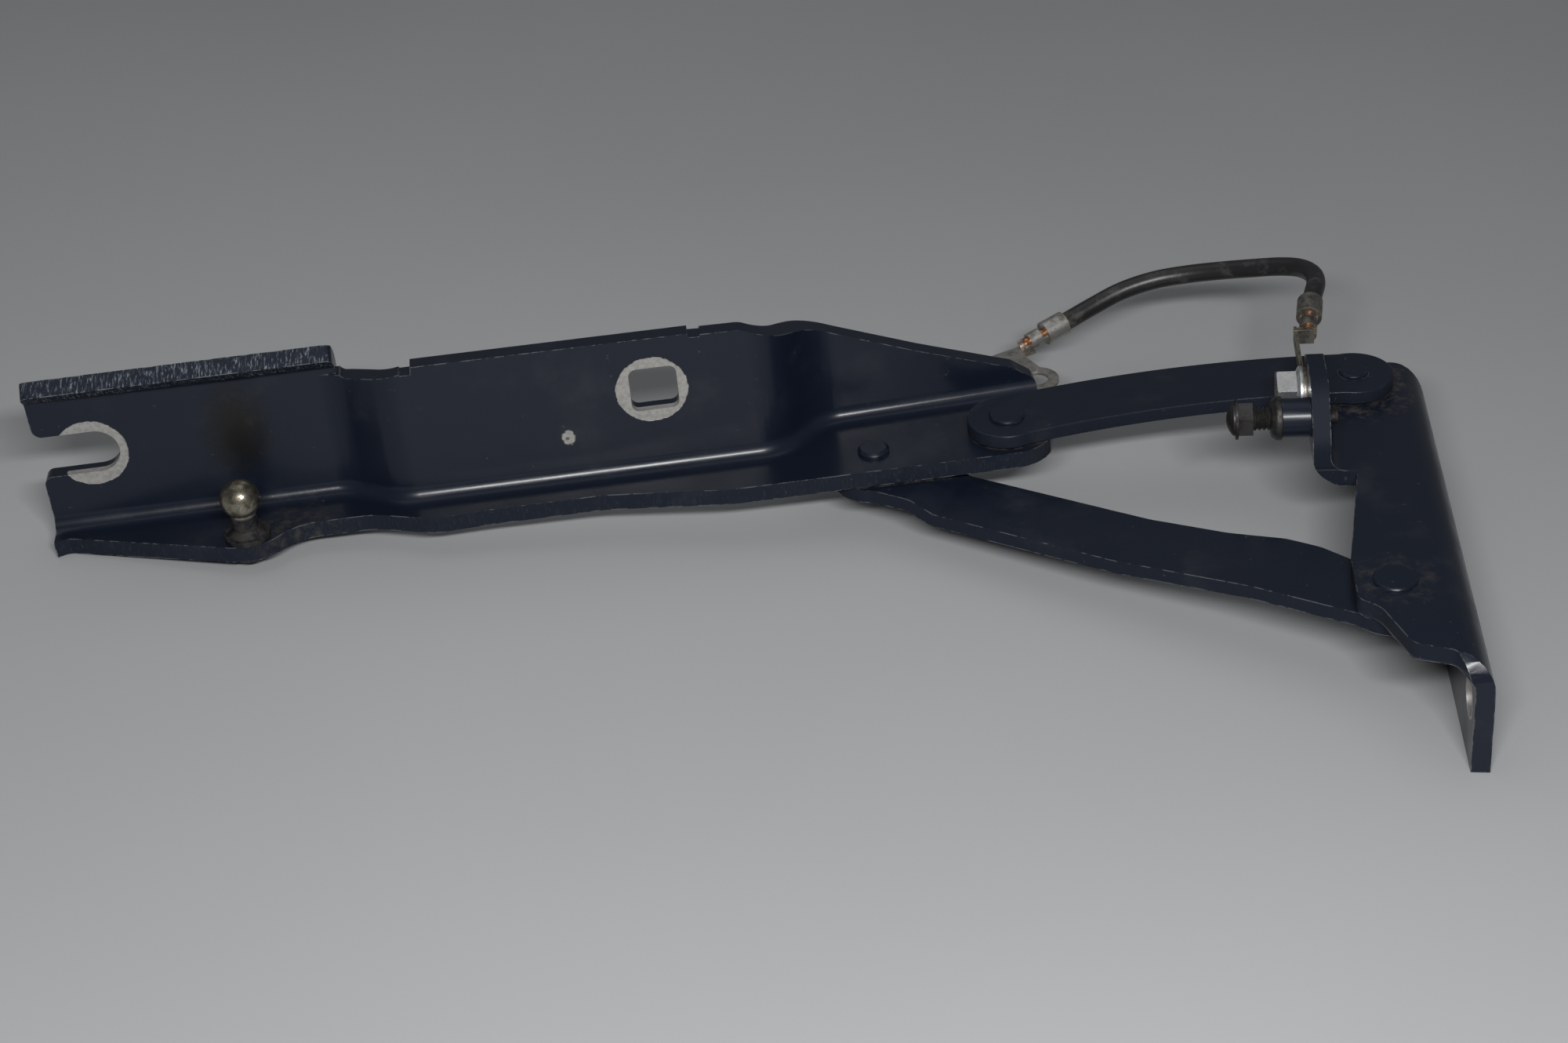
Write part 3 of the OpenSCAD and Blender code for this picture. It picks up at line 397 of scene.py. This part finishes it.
def arm_marks(s):
    """Bare rings of the bonnet bolts, the stop bolt's mark, grease over the ball, soil, sheared edges and
    painted highlights on the lip and flange rim.
    """
    x, y, z = s.frame_at(ARM_ORIGIN, ARM_TURN)
    rings = []
    for place, front in ((SLOT_AT, SLOT_FRONT), (SQUARE_AT, SQUARE_FRONT)):
        ring = s.spot(x, z, place, RING_R, edge=0.12 * MM, ragged=0.15 * MM)
        rings.append(s.both(ring, s.ramp(y, *front)))
    stop = s.spot(x, z, STOP_AT, STOP_R, edge=0.2 * MM, ragged=0.25 * MM, squeeze=0.8)
    stop = s.both(stop, s.ramp(y, *STOP_FRONT))
    crater = s.spot(x, z, CRATER_AT, CRATER_R, edge=0.25 * MM)
    bare = s.both(s.most(*rings, stop), s.ramp(crater, 0.0, 1.0, 1.0, 0.25))
    grease = s.spot(x, z, GREASE_AT, GREASE_R, edge=4.5 * MM, ragged=1.5 * MM, squeeze=0.6)
    grease = s.both(grease, s.ramp(y, *GREASE_FRONT))
    soil = s.spot(x, y, SOIL_AT, SOIL_R, edge=7 * MM, ragged=2 * MM)
    soil = s.both(soil, s.ramp(z, *SOIL_TOP))
    facing = s.faces("Y")
    lip = s.both(s.ramp(z, *LIP_FOOT), s.ramp(x, *LIP_END), s.ramp(facing, *LIP_FACING))
    rim = s.both(s.ramp(z, *FLANGE_RIM), s.ramp(facing, *FLANGE_FACING), s.upright())
    # The painted_glint share puts painted highlights on the lip and, faintly, on the flange rim
    return {"bare": bare, "grease": grease, "soil": soil, "shear": s.most(lip, rim),
            "painted_glint": s.most(lip, s.both(rim, FLANGE_PAINTED_GLINT))}


def bracket_marks(s):
    """Bare rims of the body bolt holes, soil round the pivots, and sheared edges of plate and tab."""
    x, y, z = s.frame_at((0, 0, 0))
    rims = (s.spot(y, z, place, HOLE_RIM_R, edge=0.15 * MM, ragged=0.25 * MM) for place in HOLES_AT)
    bare = s.both(s.most(*rims), s.ramp(x, *BODY_FLANGE))
    upper = s.spot(x, y, pivots["upper_body_pivot"], UPPER_SOIL_R, edge=3 * MM, ragged=2 * MM)
    lower = s.spot(x, y, pivots["lower_body_pivot"], LOWER_SOIL_R, edge=2.5 * MM, ragged=1.5 * MM)
    plate = s.both(s.upright(), s.ramp(z, *PLATE_FOOT), s.ramp(z, *PLATE_TOP))
    tab = s.both(s.ramp(s.math("ABSOLUTE", s.faces("X")), *TAB_FACING), s.ramp(z, *TAB_FOOT))
    return {"bare": bare, "soil": s.most(upper, s.both(lower, LOWER_SOIL)), "shear": s.most(plate, tab)}


def link_marks(s):
    """Sheared edges of a flat link."""
    return {"shear": s.upright()}


def paint_dirt(s, soil):
    """Share of dirt in the corners of a painted piece, and of soil where there is any."""
    dirt = s.both(s.crevice(3.5 * MM), s.ramp(s.noise(2.5 * MM, 5, 0.65), 0.40, 0.60, 0.1, 0.75))
    if not soil:
        return dirt
    return s.most(dirt, s.both(soil, s.ramp(s.noise(3 * MM, 6, 0.7), 0.42, 0.66, 0.0, 0.55)))


def paint_normal(s, bare, torn):
    """Orange peel of two sizes, the step down to bare metal and the torn sheared edges."""
    normal = s.bump(s.noise(1.0 * MM, 2), 0.05 * MM, 0.30)
    normal = s.bump(s.noise(7 * MM, 2), 0.12 * MM, 0.25, normal)
    if bare:
        normal = s.bump(s.math("SUBTRACT", 1.0, bare), 0.10 * MM, 0.8, normal)
    if torn:
        normal = s.bump(torn, 0.30 * MM, 0.6, normal)
    return normal


def paint_material(name, marks=None):
    """Dark blue body paint with thin dust, dirt, bright metal on rubbed edges and a piece's own marks,
    painted highlights on sheared edges among them.
    """
    s = Shader(name)
    found = marks(s) if marks else {}
    kinds = ("bare", "grease", "soil", "shear", "painted_glint")
    bare, grease, soil, shear, painted_glint = (found.get(kind) for kind in kinds)
    dust = s.ramp(s.noise(24 * MM, 7, 0.62), 0.54, 0.80, 0.0, 0.16)
    speck = s.ramp(s.noise(1.5 * MM, 2), 0.72, 0.76, 0.0, 0.35)
    dirt = paint_dirt(s, soil)
    patchy = s.ramp(s.noise(4 * MM, 5, 0.7), 0.44, 0.60)
    rubbed = s.ramp(s.both(s.edges(0.6 * MM), patchy), 0.06, 0.16)
    colour = s.mix(dirt, s.mix(s.most(dust, speck), PAINT, PAINT_DUST), DIRT)
    rough = s.ramp(s.noise(12 * MM, 5), 0.35, 0.7, 0.28, 0.37)
    rough = s.math("ADD", rough, s.both(s.most(dust, dirt), 0.5))
    if grease:
        colour = s.mix(grease, colour, GREASE)
        rough = s.math("ADD", rough, s.both(grease, 0.22))
    colour = s.mix(rubbed, colour, WORN_EDGE)
    metal = s.both(rubbed, 0.8)
    if bare:
        scuffed = s.mix(s.ramp(s.noise(1.1 * MM, 5, 0.7), 0.40, 0.66), BARE, BARE_DULL)
        colour = s.mix(bare, colour, scuffed)
        metal = s.most(metal, s.both(bare, 0.55))
        rough = s.most(rough, s.both(bare, 0.48))
    coat = PAINT_COAT
    torn = None
    if shear:
        grain = s.noise(0.5 * MM, 4, 0.7, s.stretched((1.0, 0.25, 0.25)))
        torn = s.both(grain, shear)
        rough = s.most(rough, s.both(shear, 0.7))
        coat = s.ramp(shear, 0.0, 1.0, PAINT_COAT, 0.0)
        # Painted highlight: pale streaks along the shear grain stand in for glints off the sheared ridges
        if painted_glint:
            colour = s.mix(s.both(painted_glint, s.ramp(grain, 0.50, 0.74)), colour, PAINTED_HIGHLIGHT)
    s.set(Base_Color=colour, Metallic=metal, Roughness=rough, Specular_IOR_Level=0.24, Coat_Weight=coat,
          Coat_Roughness=0.20, Normal=paint_normal(s, bare, torn))
    return s.material


def metal_material(name, colour, dark, rough, grain, stain, rim=None):
    """Bare or plated metal: grain in the bump, stains that darken and dull it, dirt in its corners."""
    s = Shader(name)
    blot = s.ramp(s.noise(stain, 6, 0.65), 0.40, 0.68)
    fine = s.noise(grain, 4, 0.6)
    dirt = s.both(s.crevice(1.5 * MM), s.ramp(s.noise(1.2 * MM, 4), 0.35, 0.6, 0.2, 0.5))
    shown = s.mix(dirt, s.mix(blot, colour, dark), DIRT)
    if rim:
        shown = s.mix(s.ramp(s.edges(0.3 * MM), 0.03, 0.15), shown, rim)
    dulled = s.both(s.most(blot, dirt), 0.2)
    s.set(Base_Color=shown, Metallic=s.ramp(dirt, 0.0, 0.8, 0.92, 0.2),
          Roughness=s.math("ADD", s.ramp(fine, 0.3, 0.7, rough, rough + 0.16), dulled),
          Normal=s.bump(fine, 0.04 * MM, 0.5))
    return s.material


# Height over the arm's flange at which grime gives way to worn steel
BALL_FOOT = (6.2 * MM, 7.6 * MM)


def ball_material():
    """Worn steel ball, rusty in patches, on a neck and collar under dark grime."""
    s = Shader("worn_ball_steel")
    _, _, z = s.frame_at(ARM_ORIGIN, ARM_TURN)
    worn = s.ramp(z, *BALL_FOOT)
    blot = s.ramp(s.noise(3.2 * MM, 6, 0.7), 0.42, 0.62)
    rust = s.ramp(s.noise(5 * MM, 6, 0.65), 0.56, 0.68, 0.0, 0.8)
    steel = s.mix(rust, s.mix(blot, BALL_STEEL, BALL_STAIN), BALL_RUST)
    grime = s.mix(blot, NECK_GRIME, NECK_STAIN)
    s.set(Base_Color=s.mix(worn, grime, steel), Metallic=s.both(worn, s.ramp(rust, 0.0, 0.8, 0.95, 0.4)),
          Roughness=s.math("ADD", s.ramp(worn, 0.0, 1.0, 0.46, 0.24), s.both(blot, 0.16)),
          Specular_IOR_Level=0.3, Normal=s.bump(s.noise(0.9 * MM, 5, 0.65), 0.10 * MM, 0.6))
    return s.material


def cable_material():
    """Dusty black insulation, slightly uneven."""
    s = Shader("dusty_insulation")
    dust = s.ramp(s.noise(6 * MM, 7, 0.7), 0.50, 0.74, 0.0, 0.55)
    s.set(Base_Color=s.mix(dust, JACKET, JACKET_DUST),
          Roughness=s.ramp(dust, 0.0, 0.5, 0.38, 0.75),
          Normal=s.bump(s.noise(1.2 * MM, 4), 0.08 * MM, 0.5))
    return s.material


def copper_material():
    """Stranded copper with dull patches."""
    s = Shader("stranded_copper")
    dull = s.ramp(s.noise(1.5 * MM, 5, 0.7), 0.4, 0.7)
    s.set(Base_Color=s.mix(dull, COPPER, COPPER_STAIN), Metallic=1.0,
          Roughness=s.ramp(dull, 0.0, 1.0, 0.28, 0.5),
          Normal=s.bump(s.noise(0.5 * MM, 3), 0.05 * MM, 0.6))
    return s.material


def dress(material, *names):
    """One material on each of several CAD nodes."""
    for name in names:
        mesh = nodes[name].data
        mesh.materials.clear()
        mesh.materials.append(material)


dress(paint_material("body_paint"), "stop_boss", *RIVETS, *BUSHES)
dress(paint_material("arm_paint", arm_marks), "bonnet_arm")
dress(paint_material("bracket_paint", bracket_marks), "body_bracket")
dress(paint_material("link_paint", link_marks), "upper_link", "lower_link")
dress(metal_material("dull_bolt_steel", BOLT_STEEL, BOLT_STAIN, rough=0.40, grain=0.6 * MM, stain=4 * MM),
      "stop_bolt", "stop_lock_nut")
dress(metal_material("bright_zinc", ZINC, ZINC_STAIN, rough=0.24, grain=0.5 * MM, stain=5 * MM),
      "earth_bolt")
dress(metal_material("dull_tin", TIN, TIN_STAIN, rough=0.32, grain=0.4 * MM, stain=3 * MM, rim=BRASS),
      "bonnet_terminal")
dress(metal_material("grimy_tin", GRIMY_TIN, GRIMY_STAIN, rough=0.36, grain=0.4 * MM, stain=2.5 * MM,
                     rim=BRASS), "body_terminal")
dress(ball_material(), "ball_stud")
dress(copper_material(), "body_conductor", "bonnet_conductor")
cable.data.materials.append(cable_material())

# Floor and light

FLANGE_FOOT = Vector((0, 58, -15.6)) * MM
ARM_FOOT = Vector((-346, 66, 10.4)) * MM
FLOOR_HALF = 6.0
FLOOR_PATCH = 0.4
FLOOR_DIM = (0.35, 0.355, 0.36)
FLOOR_PALE = (0.38, 0.385, 0.39)

# Key lamp, placed from the camera's eye, sky lamp over the part, and the room's own light
KEY_UP = 0.068
KEY_RIGHT = 0.03
KEY_SIZE = (0.34, 0.04)
KEY_POWER = 4.8
SKY_PLACE = CAM_TARGET + Vector((-0.2, 0.3, 1.2))
SKY_SIZE = (1.2, 1.2)
SKY_POWER = 2.2
ROOM_COLOUR = (0.85, 0.88, 0.92, 1)
ROOM_STRENGTH = 0.12


def floor_material():
    """Pale, faintly uneven floor."""
    s = Shader("pale_floor")
    uneven = s.ramp(s.noise(FLOOR_PATCH, 3), 0.3, 0.7)
    s.set(Base_Color=s.mix(uneven, FLOOR_DIM, FLOOR_PALE), Roughness=0.55)
    return s.material


def add_floor():
    """Floor under the flange's edge and the arm's far corner, on which the part lies."""
    along = (ARM_FOOT - FLANGE_FOOT).normalized()
    across = Vector((0, 0, 1)).cross(along).normalized()
    corners = [u * along + v * across for u, v in ((-1, -1), (1, -1), (1, 1), (-1, 1))]
    bm = bmesh.new()
    bm.faces.new([bm.verts.new(FLANGE_FOOT + FLOOR_HALF * corner) for corner in corners])
    floor = new_object("floor", bm, smooth=False)
    floor.data.materials.append(floor_material())


def add_lamp(name, place, size, power):
    """Rectangular lamp that faces the middle of the part."""
    data = bpy.data.lights.new(name, "AREA")
    data.shape = "RECTANGLE"
    data.size, data.size_y = size
    data.energy = power
    lamp = bpy.data.objects.new(name, data)
    lamp.location = place
    lamp.rotation_euler = (CAM_TARGET - place).to_track_quat("-Z", "Y").to_euler()
    scene.collection.objects.link(lamp)


def add_light():
    """Wide, flat key lamp just above the camera, soft light from overhead and a dim room."""
    right, up, ahead = camera_axes()
    eye = CAM_TARGET - ahead * CAM_DIST
    add_lamp("key_lamp", eye + up * KEY_UP + right * KEY_RIGHT, KEY_SIZE, KEY_POWER)
    add_lamp("sky_lamp", SKY_PLACE, SKY_SIZE, SKY_POWER)
    world = bpy.data.worlds.new("soft_room")
    world.use_nodes = True
    background = world.node_tree.nodes["Background"].inputs
    background["Color"].default_value = ROOM_COLOUR
    background["Strength"].default_value = ROOM_STRENGTH
    scene.world = world


add_floor()
add_light()
